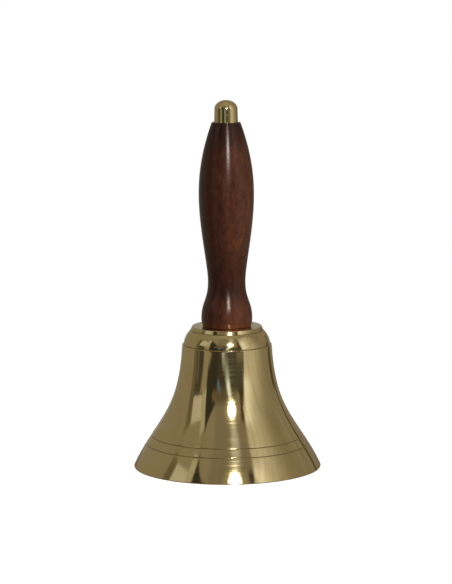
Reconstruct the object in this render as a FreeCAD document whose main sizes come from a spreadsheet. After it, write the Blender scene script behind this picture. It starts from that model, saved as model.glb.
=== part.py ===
import FreeCAD, Part
import math
import os
import Sketcher

# A hand-held sanctus bell: a turned brass casting, a wooden grip on a through rod, a domed cap
# nut, and a clapper that swings on a pin under the crown. Millimetres and degrees, +Z up.
# The origin is the centre of the mouth, in the plane of the lip.

SIZES = [
    # casting
    ("mouth_radius", 51.0, "outside radius of the lip"),
    ("lip_wall", 3.0, "wall at the lip and over the flare, measured across"),
    ("lip_round", 0.4, "round on the outer edge of the lip"),
    ("inner_lip_round", 0.8, "round on the inner edge of the lip"),
    ("waist_wall", 2.6, "wall at the waist, measured across"),
    ("crown_height", 77.5, "flat top of the casting above the lip"),
    ("crown_radius", 19.3, "raised disc that the grip stands on"),
    ("crown_edge_round", 2.0, "round on the edge of the raised disc"),
    ("crown_thickness", 5.0, "metal between the flat top and the ceiling inside"),
    ("ceiling_round", 9.5, "inside round from the ceiling to the wall"),
    ("shoulder_drop", 10.0, "from the flat top down to the ledge line"),
    ("shoulder_radius", 23.65, "foot of the rounded shoulder, at the ledge line"),
    ("shoulder_round", 12.2, "radius of the rounded shoulder"),
    ("ledge_step", 0.75, "how far the waist stands out under the shoulder"),
    ("ledge_round", 0.3, "round on the edge of the ledge"),
    ("waist_guide_out", 1.3, "first guide of the flare curve, outwards of the ledge"),
    ("waist_guide_drop", 18.6, "first guide, below the ledge line"),
    ("hip_guide_out", 6.7, "second guide, outwards of the ledge"),
    ("hip_guide_height", 29.97, "second guide, above the lip"),
    ("flare_guide_in", 4.9, "third guide, inwards of the lip"),
    ("flare_guide_height", 11.45, "third guide, above the lip"),
    ("upper_groove_height", 17.3, "upper turned line on the flare"),
    ("lower_groove_height", 12.85, "lower turned line on the flare"),
    ("groove_round", 0.35, "radius of both turned lines"),
    # grip
    ("grip_length", 111.2, "wooden grip, foot to top"),
    ("grip_base_radius", 13.2, "where the grip stands on the crown"),
    ("grip_base_rise", 0.6, "upright start of the curve at the base"),
    ("grip_foot_radius", 13.9, "widest place of the foot"),
    ("grip_foot_height", 4.2, "widest place of the foot, above the crown"),
    ("foot_lower_hold", 2.3, "how far the foot keeps its width downwards"),
    ("foot_upper_hold", 9.3, "how far the foot keeps its width upwards"),
    ("grip_neck_radius", 10.2, "narrowest place"),
    ("grip_neck_height", 24.5, "narrowest place, above the crown"),
    ("neck_lower_hold", 10.4, "how far the neck keeps its width downwards"),
    ("neck_upper_hold", 8.9, "how far the neck keeps its width upwards"),
    ("grip_belly_radius", 15.0, "widest place of the hand hold"),
    ("grip_belly_height", 71.7, "widest place of the hand hold, above the crown"),
    ("belly_lower_hold", 18.3, "how far the hand hold keeps its width downwards"),
    ("belly_upper_hold", 7.3, "how far the hand hold keeps its width upwards"),
    ("grip_top_radius", 7.8, "top of the grip under the cap nut"),
    ("top_guide_out", 6.9, "guide of the curve below the top, outwards of the top"),
    ("top_guide_drop", 18.6, "guide of the curve below the top, under the top"),
    ("grip_top_round", 0.5, "eased edge at the top of the grip"),
    # cap nut
    ("cap_base_radius", 6.45, "cap nut where it meets the wood"),
    ("cap_top_radius", 6.25, "cap nut where its dome begins"),
    ("cap_straight", 7.3, "cap nut below its dome"),
    ("cap_dome", 4.7, "height of the dome"),
    ("cap_bore_depth", 9.0, "blind thread in the cap nut"),
    ("rod_in_cap", 8.6, "rod inside the cap nut"),
    # rod and the nuts on it
    ("rod_radius", 3.0, "through rod, an M6 stud"),
    ("rod_clearance", 0.3, "round the rod in the wood, the crown and the washers"),
    ("thread_clearance", 0.05, "between a thread and what is screwed on it"),
    ("washer_radius", 10.0, "plain washer under the crown"),
    ("washer_thickness", 1.2, "plain washer under the crown"),
    ("lock_washer_radius", 5.4, "split spring washer"),
    ("lock_washer_thickness", 1.5, "split spring washer"),
    ("lock_washer_turn", 348.0, "how much of the circle the split washer fills, degrees"),
    ("nut_across_flats", 10.0, "nut under the crown"),
    ("nut_thickness", 5.0, "nut under the crown"),
    # hanger and its pin
    ("hanger_radius", 6.5, "round top of the hanger"),
    ("hanger_shoulder", 1.0, "bevel round the top and the foot of the hanger"),
    ("hanger_flat", 5.2, "outer face of each ear, from the middle"),
    ("hanger_flat_top", 5.0, "how far the ear faces rise above the pivot"),
    ("hanger_foot", 4.4, "ears below the pivot"),
    ("pivot_drop", 9.6, "from the nut down to the pivot"),
    ("hanger_thread_depth", 4.6, "blind thread in the hanger"),
    ("rod_in_hanger", 4.3, "rod inside the hanger"),
    ("pin_radius", 1.5, "pivot pin"),
    ("pin_fit", 0.05, "round the pin in the ears"),
    ("pivot_fit", 0.08, "round the pin in the eye of the stem"),
    ("pin_head_radius", 2.8, "head of the pivot pin"),
    ("pin_head_thickness", 1.2, "head of the pivot pin"),
    ("pin_washer_radius", 2.9, "washer at the tail of the pin"),
    ("pin_washer_thickness", 0.5, "washer at the tail of the pin"),
    ("clip_groove_radius", 1.1, "bottom of the clip groove"),
    ("clip_fit", 0.04, "round the clip in its groove"),
    ("clip_radius", 2.7, "outside of the spring clip"),
    ("clip_thickness", 0.6, "spring clip"),
    ("clip_turn", 285.0, "how much of the circle the clip fills, degrees"),
    ("pin_tail", 0.8, "pin beyond its clip groove"),
    # clapper
    ("eye_radius", 3.6, "outside of the eye"),
    ("eye_thickness", 3.4, "eye, across the slot"),
    ("eye_side_gap", 0.4, "between the eye and each ear"),
    ("eye_top_gap", 0.5, "between the eye and the top of the slot"),
    ("stem_radius", 1.8, "round stem of the clapper"),
    ("collar_radius", 3.3, "collar on the stem above the ball"),
    ("collar_thickness", 1.3, "collar on the stem above the ball"),
    ("ball_radius", 8.5, "striking ball"),
    ("ball_height", 15.5, "middle of the ball above the lip"),
    ("ball_flat_radius", 3.6, "flats on the ball for the collar and the nut"),
    ("ball_bore_clearance", 0.1, "round the stem in the ball"),
    ("end_nut_across_flats", 6.4, "nut under the ball"),
    ("end_nut_thickness", 2.8, "nut under the ball"),
    ("stem_tip", 0.7, "stem beyond the nut under the ball"),
]

# Share of a radius that turns two guides into a quarter of an ellipse.
ELLIPSE_SHARE = 0.5523
# Share of a nut's corner radius that the bevel takes off, and how far its cutter stands outside.
BEVEL_SHARE = 0.04
BEVEL_REACH = 1.1

document = FreeCAD.newDocument("SanctusBell")
sheet = document.addObject("Spreadsheet::Sheet", "sizes")
for row, (alias, value, meaning) in enumerate(SIZES, start=1):
    sheet.set(f"A{row}", meaning)
    sheet.set(f"B{row}", str(value))
    sheet.setAlias(f"B{row}", alias)
document.recompute()


class Size:
    """A length with the spreadsheet formula that gives it."""

    def __init__(self, value, formula):
        self.value = value
        self.formula = formula

    def __add__(self, other):
        other = as_size(other)
        return Size(self.value + other.value, f"({self.formula} + {other.formula})")

    def __sub__(self, other):
        other = as_size(other)
        return Size(self.value - other.value, f"({self.formula} - {other.formula})")

    def __mul__(self, other):
        other = as_size(other)
        return Size(self.value * other.value, f"{self.formula} * {other.formula}")

    def __neg__(self):
        return Size(-self.value, f"(0 - {self.formula})")


def as_size(thing):
    """Give a plain number the same form as a size from the sheet."""
    if isinstance(thing, Size):
        return thing
    return Size(float(thing), f"({float(thing)})")


class Sizes:
    """Every size of the sheet by its alias."""

    def __init__(self):
        for alias, value, _ in SIZES:
            setattr(self, alias, Size(value, f"sizes.{alias}"))


size = Sizes()
zero = as_size(0.0)


def root_of(value):
    """Square root of a size, with its formula."""
    return Size(math.sqrt(value.value), f"sqrt({value.formula})")


# Heights that several pieces share, all worked out from the sheet.
ledge_height = size.crown_height - size.shoulder_drop
ledge_radius = size.shoulder_radius + size.ledge_step
ceiling_height = size.crown_height - size.crown_thickness
grip_top_height = size.crown_height + size.grip_length
lock_washer_top = ceiling_height - size.washer_thickness
nut_top = lock_washer_top - size.lock_washer_thickness
hanger_top = nut_top - size.nut_thickness
pivot_height = hanger_top - size.pivot_drop
clapper_length = pivot_height - size.ball_height
ball_flat_height = root_of(size.ball_radius * size.ball_radius
                           - size.ball_flat_radius * size.ball_flat_radius)
rod_foot_height = hanger_top - size.rod_in_hanger
rod_hole_radius = size.rod_radius + size.rod_clearance
thread_radius = size.rod_radius + size.thread_clearance

# Ends of a sketch edge, as Sketcher numbers them.
START = 1
END = 2
CENTRE = 3
ORIGIN = (-1, 1)
ACROSS_AXIS = -1
UP_AXIS = -2


def bind(target, prop, length):
    """Tie a property of a document object to the sheet."""
    target.setExpression(prop, length.formula)


def origin_plane(body, role):
    """Find one of the body's own origin planes by its role."""
    return next(item for item in body.Origin.OriginFeatures if item.Role == role)


def new_body(label):
    """A PartDesign body whose label names the piece."""
    body = document.addObject("PartDesign::Body", label)
    body.Label = label
    return body


def seat(body, height):
    """Put a finished piece at its height on the bell's axis."""
    bind(body, "Placement.Base.z", height)


def new_sketch(body, name, role="XZ_Plane"):
    """A sketch on an origin plane; in the upright planes, across is the radius and up is height."""
    sketch = body.newObject("Sketcher::SketchObject", name)
    sketch.AttachmentSupport = (origin_plane(body, role), "")
    sketch.MapMode = "FlatFace"
    return sketch


def constrain(sketch, length, *arguments):
    """Add a dimension and tie it to the sheet."""
    index = sketch.addConstraint(Sketcher.Constraint(*arguments, length.value))
    sketch.setExpression(f"Constraints[{index}]", length.formula)


def place(sketch, edge, which, point):
    """Fix both coordinates of a point of an edge."""
    ways = (("DistanceX", UP_AXIS), ("DistanceY", ACROSS_AXIS))
    for length, (distance, axis) in zip(point, ways):
        if abs(length.value) < 1e-9:
            sketch.addConstraint(Sketcher.Constraint("PointOnObject", edge, which, axis))
        else:
            constrain(sketch, length, distance, *ORIGIN, edge, which)


def flat(point):
    """Coordinates of a point in its sketch."""
    across, up = point
    return FreeCAD.Vector(across.value, up.value, 0)


def curve_through(sketch, guides, construction=False, joined=False):
    """A cubic curve drawn by its guide points, tied to the sheet; a joined one starts on an edge."""
    curve = Part.BSplineCurve()
    inner = len(guides) - 4
    knots = [step / (inner + 1) for step in range(inner + 2)]
    multiplicities = [4] + [1] * inner + [4]
    curve.buildFromPolesMultsKnots([flat(guide) for guide in guides], multiplicities, knots, False, 3)
    edge = sketch.addGeometry(curve, construction)
    first_circle = None
    for number, guide in enumerate(guides):
        circle = sketch.addGeometry(Part.Circle(flat(guide), FreeCAD.Vector(0, 0, 1), 1.0), True)
        if first_circle is None:
            first_circle = circle
            sketch.addConstraint(Sketcher.Constraint("Weight", circle, 1.0))
        else:
            sketch.addConstraint(Sketcher.Constraint("Equal", first_circle, circle))
        sketch.addConstraint(Sketcher.Constraint(
            "InternalAlignment:Sketcher::BSplineControlPoint", circle, CENTRE, edge, number))
        if number > 0 or not joined:
            place(sketch, circle, CENTRE, guide)
    return edge


class Outline:
    """A closed outline in a sketch, drawn edge by edge from a first corner."""

    def __init__(self, sketch, start):
        self.sketch = sketch
        self.start = start
        self.corner = start
        self.first = None
        self.last = None
        self.closing = False

    def _join(self, edge, begins, ends, point):
        """Join an edge to the one before it and fix its far end."""
        if self.first is None:
            self.first = (edge, begins)
            place(self.sketch, edge, begins, self.start)
        else:
            self.sketch.addConstraint(Sketcher.Constraint("Coincident", *self.last, edge, begins))
        if self.closing:
            self.sketch.addConstraint(Sketcher.Constraint("Coincident", edge, ends, *self.first))
        else:
            place(self.sketch, edge, ends, point)
        self.last = (edge, ends)
        self.corner = point

    def line_to(self, point):
        """A straight edge."""
        edge = self.sketch.addGeometry(Part.LineSegment(flat(self.corner), flat(point)), False)
        self._join(edge, START, END, point)

    def round_to(self, point, radius, side):
        """An arc of a set radius; its centre is left of the way for side 1, right for -1."""
        begin = flat(self.corner)
        finish = flat(point)
        half = (finish - begin) * 0.5
        across = FreeCAD.Vector(-half.y, half.x, 0).normalize()
        centre = begin + half + across * (side * math.sqrt(radius.value ** 2 - half.Length ** 2))
        circle = Part.Circle(centre, FreeCAD.Vector(0, 0, 1), radius.value)
        angles = [circle.parameter(begin), circle.parameter(finish)]
        ends = (START, END)
        if side < 0:
            angles.reverse()
            ends = (END, START)
        edge = self.sketch.addGeometry(Part.ArcOfCircle(circle, *angles), False)
        self._join(edge, *ends, point)
        constrain(self.sketch, radius, "Radius", edge)

    def curve_to(self, guides, point):
        """A cubic curve with guide points between its ends."""
        edge = curve_through(self.sketch, [self.corner, *guides, point], joined=True)
        self.sketch.addConstraint(Sketcher.Constraint("Coincident", *self.last, edge, START))
        self.last = (edge, END)
        self.corner = point

    def close(self):
        """A straight edge back to the first corner."""
        self.closing = True
        self.line_to(self.start)


def straight_outline(sketch, corners):
    """Add a closed outline with straight edges only."""
    outline = Outline(sketch, corners[0])
    for corner in corners[1:]:
        outline.line_to(corner)
    outline.close()


def polygon(body, name, corners, role="XZ_Plane"):
    """A sketch of one closed straight-sided outline."""
    sketch = new_sketch(body, name, role)
    straight_outline(sketch, corners)
    return sketch


def rectangle(body, name, low, high, role="XZ_Plane"):
    """A sketch of a rectangle between two opposite corners."""
    return polygon(body, name, [low, (high[0], low[1]), high, (low[0], high[1])], role)


def circles(body, name, radii, role="XY_Plane"):
    """Circles round the sketch's own origin."""
    sketch = new_sketch(body, name, role)
    for radius in radii:
        circle = Part.Circle(FreeCAD.Vector(), FreeCAD.Vector(0, 0, 1), radius.value)
        edge = sketch.addGeometry(circle, False)
        sketch.addConstraint(Sketcher.Constraint("Coincident", edge, CENTRE, *ORIGIN))
        constrain(sketch, radius, "Radius", edge)
    return sketch


def turn(body, name, sketch, kind="Revolution", angle=None, axis="V_Axis"):
    """Turn a sketch about one of its own axes, to add or to cut."""
    feature = body.newObject(f"PartDesign::{kind}", name)
    feature.Profile = sketch
    feature.ReferenceAxis = (sketch, [axis])
    if angle is None:
        feature.Angle = 360.0
    else:
        bind(feature, "Angle", angle)
    body.Tip = feature
    return feature


def pad(body, name, sketch, length, both_ways=False):
    """Raise a sketch by a length, on one side or evenly on both."""
    feature = body.newObject("PartDesign::Pad", name)
    feature.Profile = sketch
    bind(feature, "Length", length)
    feature.Midplane = both_ways
    body.Tip = feature
    return feature


def cut(body, name, sketch, length, both_ways=False, reverse=False):
    """Cut a sketch into the body by a length, on one side or evenly on both."""
    document.recompute()
    before = body.Shape.Volume
    feature = body.newObject("PartDesign::Pocket", name)
    feature.Profile = sketch
    bind(feature, "Length", length)
    feature.Midplane = both_ways
    feature.Reversed = reverse
    body.Tip = feature
    document.recompute()
    if body.Shape.Volume >= before:
        raise RuntimeError(f"{body.Label}: {name} cuts nothing")
    return feature


def ring(label, inner, outer, thickness, height, angle=None):
    """A flat ring that hangs from the given height, whole or split."""
    body = new_body(label)
    sketch = rectangle(body, f"{label}_section", (inner, -thickness), (outer, zero))
    turn(body, f"{label}_turn", sketch, angle=angle)
    seat(body, height)
    return body


def hex_nut(label, across_flats, thickness, bore, height):
    """A hexagon nut that hangs from the given height, bevelled on both faces."""
    body = new_body(label)
    corner = across_flats * (1 / math.sqrt(3))
    corners = []
    for step in range(6):
        angle = math.radians(60 * step)
        corners.append((corner * round(math.cos(angle), 12), corner * round(math.sin(angle), 12)))
    hexagon = polygon(body, f"{label}_hexagon", corners, "XY_Plane")
    prism = pad(body, f"{label}_prism", hexagon, thickness)
    prism.Reversed = True
    cut(body, f"{label}_bore", circles(body, f"{label}_bore_circle", [bore]), thickness)
    bevel = corner * BEVEL_SHARE
    outside = corner * BEVEL_REACH
    bevels = new_sketch(body, f"{label}_bevel_section")
    for face, inward in ((zero, -bevel), (-thickness, bevel - thickness)):
        triangle = [(corner - bevel * 2, face), (outside, face), (outside, inward)]
        straight_outline(bevels, triangle)
    turn(body, f"{label}_bevel", bevels, "Groove")
    seat(body, height)
    return body


def flare_guides():
    """Guide points of the outer flare curve, from the ledge down to the lip."""
    return [
        (ledge_radius, ledge_height - size.ledge_round),
        (ledge_radius + size.waist_guide_out, ledge_height - size.waist_guide_drop),
        (ledge_radius + size.hip_guide_out, size.hip_guide_height),
        (size.mouth_radius - size.flare_guide_in, size.flare_guide_height),
        (size.mouth_radius, size.lip_round),
    ]


def make_bell_casting():
    """The brass casting, turned from one section, with two fine lines cut in its flare."""
    body = new_body("bell_casting")
    guides = flare_guides()
    wall_radius = ledge_radius - size.waist_wall
    ceiling_edge = wall_radius - size.ceiling_round
    lip_inside = size.mouth_radius - size.lip_wall
    crown_edge = size.crown_height - size.crown_edge_round

    section = Outline(new_sketch(body, "casting_section"), (rod_hole_radius, ceiling_height))
    section.line_to((rod_hole_radius, size.crown_height))
    section.line_to((size.crown_radius - size.crown_edge_round, size.crown_height))
    section.round_to((size.crown_radius, crown_edge), size.crown_edge_round, -1)
    section.round_to((size.shoulder_radius, ledge_height), size.shoulder_round, -1)
    section.line_to((ledge_radius - size.ledge_round, ledge_height))
    section.round_to(guides[0], size.ledge_round, -1)
    section.curve_to(guides[1:4], guides[4])
    section.round_to((size.mouth_radius - size.lip_round, zero), size.lip_round, -1)
    section.line_to((lip_inside + size.inner_lip_round, zero))
    section.round_to((lip_inside, size.inner_lip_round), size.inner_lip_round, -1)
    inner_guides = [
        (guides[3][0] - size.lip_wall, guides[3][1]),
        (guides[2][0] - size.waist_wall, guides[2][1]),
        (guides[1][0] - size.waist_wall, guides[1][1]),
    ]
    section.curve_to(inner_guides, (wall_radius, ceiling_height - size.ceiling_round))
    section.round_to((ceiling_edge, ceiling_height), size.ceiling_round, 1)
    section.close()
    turn(body, "casting", section.sketch)

    lines = new_sketch(body, "turned_line_section")
    curve = curve_through(lines, guides, construction=True)
    for height in (size.upper_groove_height, size.lower_groove_height):
        near = FreeCAD.Vector(radius_on_curve(guides, height.value), height.value, 0)
        line = lines.addGeometry(
            Part.Circle(near, FreeCAD.Vector(0, 0, 1), size.groove_round.value), False)
        lines.addConstraint(Sketcher.Constraint("PointOnObject", line, CENTRE, curve))
        constrain(lines, height, "DistanceY", *ORIGIN, line, CENTRE)
        constrain(lines, size.groove_round, "Radius", line)
    turn(body, "turned_lines", lines, "Groove")
    return body


def radius_on_curve(guides, height):
    """Radius of the flare curve at a height."""
    curve = Part.BSplineCurve()
    curve.buildFromPolesMultsKnots([flat(guide) for guide in guides], [4, 1, 4], [0, 0.5, 1], False, 3)
    low, high = 0.0, 1.0
    for _ in range(40):
        middle = (low + high) / 2
        if curve.value(middle).y > height:
            low = middle
        else:
            high = middle
    return curve.value(low).x


def make_wood_grip():
    """The turned grip: foot, hollow neck and long hand hold, bored through for the rod."""
    body = new_body("wood_grip")
    base = (size.grip_base_radius, zero)
    foot = (size.grip_foot_radius, size.grip_foot_height)
    neck = (size.grip_neck_radius, size.grip_neck_height)
    belly = (size.grip_belly_radius, size.grip_belly_height)
    top = (size.grip_top_radius, size.grip_length - size.grip_top_round)

    section = Outline(new_sketch(body, "grip_section"), (rod_hole_radius, zero))
    section.line_to(base)
    section.curve_to([above(base, size.grip_base_rise), above(foot, -size.foot_lower_hold)], foot)
    section.curve_to([above(foot, size.foot_upper_hold), above(neck, -size.neck_lower_hold)], neck)
    section.curve_to([above(neck, size.neck_upper_hold), above(belly, -size.belly_lower_hold)], belly)
    top_guide = (size.grip_top_radius + size.top_guide_out, top[1] - size.top_guide_drop)
    section.curve_to([above(belly, size.belly_upper_hold), top_guide], top)
    section.round_to((top[0] - size.grip_top_round, size.grip_length), size.grip_top_round, 1)
    section.line_to((rod_hole_radius, size.grip_length))
    section.close()
    turn(body, "grip", section.sketch)
    seat(body, size.crown_height)
    return body


def above(point, rise):
    """A point straight above another."""
    return (point[0], point[1] + rise)


def make_cap_nut():
    """The domed brass nut that clamps the grip, with a blind thread for the rod."""
    body = new_body("cap_nut")
    top = size.cap_straight + size.cap_dome
    shoulder = (size.cap_top_radius, size.cap_straight)
    dome_guides = [
        (size.cap_top_radius, size.cap_straight + size.cap_dome * ELLIPSE_SHARE),
        (size.cap_top_radius * ELLIPSE_SHARE, top),
    ]
    section = Outline(new_sketch(body, "cap_section"), (thread_radius, zero))
    section.line_to((size.cap_base_radius, zero))
    section.line_to(shoulder)
    section.curve_to(dome_guides, (zero, top))
    section.line_to((zero, size.cap_bore_depth))
    section.line_to((thread_radius, size.cap_bore_depth))
    section.close()
    turn(body, "cap", section.sketch)
    seat(body, grip_top_height)
    return body


def make_tie_rod():
    """The steel rod from the cap nut through the grip and crown into the hanger."""
    body = new_body("tie_rod")
    length = grip_top_height + size.rod_in_cap - rod_foot_height
    sketch = rectangle(body, "tie_rod_section", (zero, zero), (size.rod_radius, length))
    turn(body, "rod", sketch)
    seat(body, rod_foot_height)
    return body


def make_hanger():
    """The brass fork that screws on the rod and carries the pivot pin in two ears."""
    body = new_body("clapper_hanger")
    bevel = size.hanger_shoulder
    corners = [
        (zero, -size.hanger_foot),
        (size.hanger_radius - bevel, -size.hanger_foot),
        (size.hanger_radius, bevel - size.hanger_foot),
        (size.hanger_radius, size.pivot_drop - bevel),
        (size.hanger_radius - bevel, size.pivot_drop),
        (zero, size.pivot_drop),
    ]
    turn(body, "hanger_round", polygon(body, "hanger_section", corners))

    bore = rectangle(body, "hanger_thread_section", (zero, size.pivot_drop - size.hanger_thread_depth),
                     (thread_radius, size.pivot_drop))
    turn(body, "hanger_thread", bore, "Groove")

    half_slot = size.eye_thickness * 0.5 + size.eye_side_gap
    slot_top = size.eye_radius + size.eye_top_gap
    across = size.hanger_radius * 2
    slot = rectangle(body, "hanger_slot_section", (-half_slot, -size.hanger_foot),
                     (half_slot, slot_top), "YZ_Plane")
    cut(body, "hanger_slot", slot, across, both_ways=True)

    for name, side in (("front", -1), ("back", 1)):
        inner = (size.hanger_flat * side, -size.hanger_foot)
        outer = (size.hanger_radius * side, size.hanger_flat_top)
        ear_face = rectangle(body, f"hanger_{name}_face_section", inner, outer, "YZ_Plane")
        cut(body, f"hanger_{name}_face", ear_face, across, both_ways=True)

    hole = circles(body, "hanger_pin_hole_circle", [size.pin_radius + size.pin_fit], "XZ_Plane")
    cut(body, "hanger_pin_hole", hole, across, both_ways=True)
    seat(body, pivot_height)
    return body


def make_pivot_pin():
    """The headed pin through both ears, grooved near its tail for the clip."""
    body = new_body("pivot_pin")
    face = size.hanger_flat
    groove_start = face + size.pin_washer_thickness
    groove_end = groove_start + size.clip_thickness
    corners = [
        (-face - size.pin_head_thickness, zero),
        (-face - size.pin_head_thickness, size.pin_head_radius),
        (-face, size.pin_head_radius),
        (-face, size.pin_radius),
        (groove_start, size.pin_radius),
        (groove_start, size.clip_groove_radius),
        (groove_end, size.clip_groove_radius),
        (groove_end, size.pin_radius),
        (groove_end + size.pin_tail, size.pin_radius),
        (groove_end + size.pin_tail, zero),
    ]
    sketch = polygon(body, "pivot_pin_section", corners, "YZ_Plane")
    turn(body, "pin", sketch, axis="H_Axis")
    seat(body, pivot_height)
    return body


def pin_ring(label, near, thickness, inner, outer, angle=None):
    """A ring on the pivot pin, from a place along the pin."""
    body = new_body(label)
    sketch = rectangle(body, f"{label}_section", (near, inner), (near + thickness, outer), "YZ_Plane")
    turn(body, f"{label}_turn", sketch, angle=angle, axis="H_Axis")
    seat(body, pivot_height)
    return body


def make_clapper_stem():
    """The steel stem: an eye for the pin, a round shank, a collar and a threaded end."""
    body = new_body("clapper_stem")
    eye = circles(body, "eye_circles", [size.eye_radius, size.pin_radius + size.pivot_fit], "XZ_Plane")
    pad(body, "eye", eye, size.eye_thickness, both_ways=True)

    ball_top = ball_flat_height - clapper_length
    shank_top = (size.eye_radius + size.pin_radius) * -0.5  # inside the ring of the eye
    stem_end = -clapper_length - ball_flat_height - size.end_nut_thickness - size.stem_tip
    corners = [
        (zero, stem_end),
        (size.stem_radius, stem_end),
        (size.stem_radius, ball_top),
        (size.collar_radius, ball_top),
        (size.collar_radius, ball_top + size.collar_thickness),
        (size.stem_radius, ball_top + size.collar_thickness),
        (size.stem_radius, shank_top),
        (zero, shank_top),
    ]
    turn(body, "shank", polygon(body, "shank_section", corners))
    seat(body, pivot_height)
    return body


def make_clapper_ball():
    """The brass striking ball, bored and with a small flat at each end of the bore."""
    body = new_body("clapper_ball")
    bore = size.stem_radius + size.ball_bore_clearance
    equator = (size.ball_radius, zero)
    section = Outline(new_sketch(body, "ball_section"), (bore, -ball_flat_height))
    section.line_to((size.ball_flat_radius, -ball_flat_height))
    section.round_to(equator, size.ball_radius, 1)
    section.round_to((size.ball_flat_radius, ball_flat_height), size.ball_radius, 1)
    section.line_to((bore, ball_flat_height))
    section.close()
    turn(body, "ball", section.sketch)
    seat(body, size.ball_height)
    return body


def make_all():
    """Every separate piece of the bell, from the casting to the nut under the ball."""
    return [
        make_bell_casting(),
        make_wood_grip(),
        make_cap_nut(),
        make_tie_rod(),
        ring("crown_washer", rod_hole_radius, size.washer_radius, size.washer_thickness,
             ceiling_height),
        ring("lock_washer", rod_hole_radius, size.lock_washer_radius, size.lock_washer_thickness,
             lock_washer_top, size.lock_washer_turn),
        hex_nut("crown_nut", size.nut_across_flats, size.nut_thickness, thread_radius, nut_top),
        make_hanger(),
        make_pivot_pin(),
        pin_ring("pin_washer", size.hanger_flat, size.pin_washer_thickness,
                 size.pin_radius + size.pin_fit, size.pin_washer_radius),
        pin_ring("pin_clip", size.hanger_flat + size.pin_washer_thickness, size.clip_thickness,
                 size.clip_groove_radius + size.clip_fit, size.clip_radius, size.clip_turn),
        make_clapper_stem(),
        make_clapper_ball(),
        hex_nut("clapper_end_nut", size.end_nut_across_flats, size.end_nut_thickness,
                size.stem_radius + size.thread_clearance, size.ball_height - ball_flat_height),
    ]


def check(pieces):
    """Stop if any object failed or any piece is not one sound solid."""
    for item in document.Objects:
        if "Invalid" in item.State or "Error" in item.State:
            raise RuntimeError(f"{item.Label} failed: {item.State}")
    for piece in pieces:
        if piece.Shape.isNull() or not piece.Shape.isValid() or len(piece.Shape.Solids) != 1:
            raise RuntimeError(f"{piece.Label} is not one sound solid")


pieces = make_all()
document.recompute()
check(pieces)
os.makedirs("parts", exist_ok=True)
for piece in pieces:
    piece.Shape.exportStep(f"parts/{piece.Label}.step")
    box = piece.Shape.BoundBox
    print(f"{piece.Label}: {piece.Shape.Volume:.1f} mm3, z {box.ZMin:.2f} to {box.ZMax:.2f}, "
          f"x {box.XMin:.2f} to {box.XMax:.2f}, y {box.YMin:.2f} to {box.YMax:.2f}")
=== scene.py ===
"""Looks for a sanctus bell: a polished brass casting, a turned hardwood grip and a domed brass cap nut.

Lengths in the classes are millimetres, as on a maker's drawing, and become metres when a mesh is made.
Every turned piece is a surface of two parameters: the distance along its outline and the angle round
its axis. The clapper's stem and ball are built the same way, and are seen through the mouth.
"""

import logging
import math
from dataclasses import dataclass, field
from enum import Enum
from typing import ClassVar

import bpy
import numpy as np
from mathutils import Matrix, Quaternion, Vector


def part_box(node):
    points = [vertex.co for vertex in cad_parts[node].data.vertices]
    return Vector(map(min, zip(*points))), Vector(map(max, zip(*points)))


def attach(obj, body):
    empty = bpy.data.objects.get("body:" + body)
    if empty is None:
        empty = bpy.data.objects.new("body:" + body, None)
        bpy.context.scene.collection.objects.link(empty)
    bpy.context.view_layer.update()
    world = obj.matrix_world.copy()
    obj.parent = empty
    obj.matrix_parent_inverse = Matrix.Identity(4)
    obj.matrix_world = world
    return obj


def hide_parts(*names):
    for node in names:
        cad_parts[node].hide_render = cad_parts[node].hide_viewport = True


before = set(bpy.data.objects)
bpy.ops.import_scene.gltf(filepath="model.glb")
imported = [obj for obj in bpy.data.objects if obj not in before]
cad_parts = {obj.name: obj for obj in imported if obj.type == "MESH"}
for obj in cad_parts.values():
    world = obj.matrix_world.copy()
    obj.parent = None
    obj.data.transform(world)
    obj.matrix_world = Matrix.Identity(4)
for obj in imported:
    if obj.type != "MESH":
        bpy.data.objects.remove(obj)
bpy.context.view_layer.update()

MM = 0.001
TURNING_MAP = "turning"
QUARTER_GUIDE = 4.0 / 3.0  # an arc's guides stand this many tan(a quarter of its angle) radii out
SAME_PLACE = 1e-9  # points nearer than this, in metres, are one
ACROSS_LATHE_LINES = 0.25  # the turn that lays an anisotropic shine along the axis
TO_MM = (1.0 / MM,) * 3
LOG = logging.getLogger("sanctus_bell")

Socket = bpy.types.NodeSocket
Pair = tuple[float, float]
Triple = tuple[float, float, float]
Spot = Pair | np.ndarray  # a radius and a height


# --- Outlines and surfaces ---


class Fineness(Enum):
    """Columns round a piece, most turn from row to row in degrees, most length from row to row in mm."""

    LARGE = (240, 4.0, 2.0)
    MEDIUM = (128, 6.0, 1.5)
    SMALL = (64, 9.0, 1.5)


class Axis(Enum):
    """Which way the axis of a turned piece points."""

    UPRIGHT = "z"
    ACROSS = "y"


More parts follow.
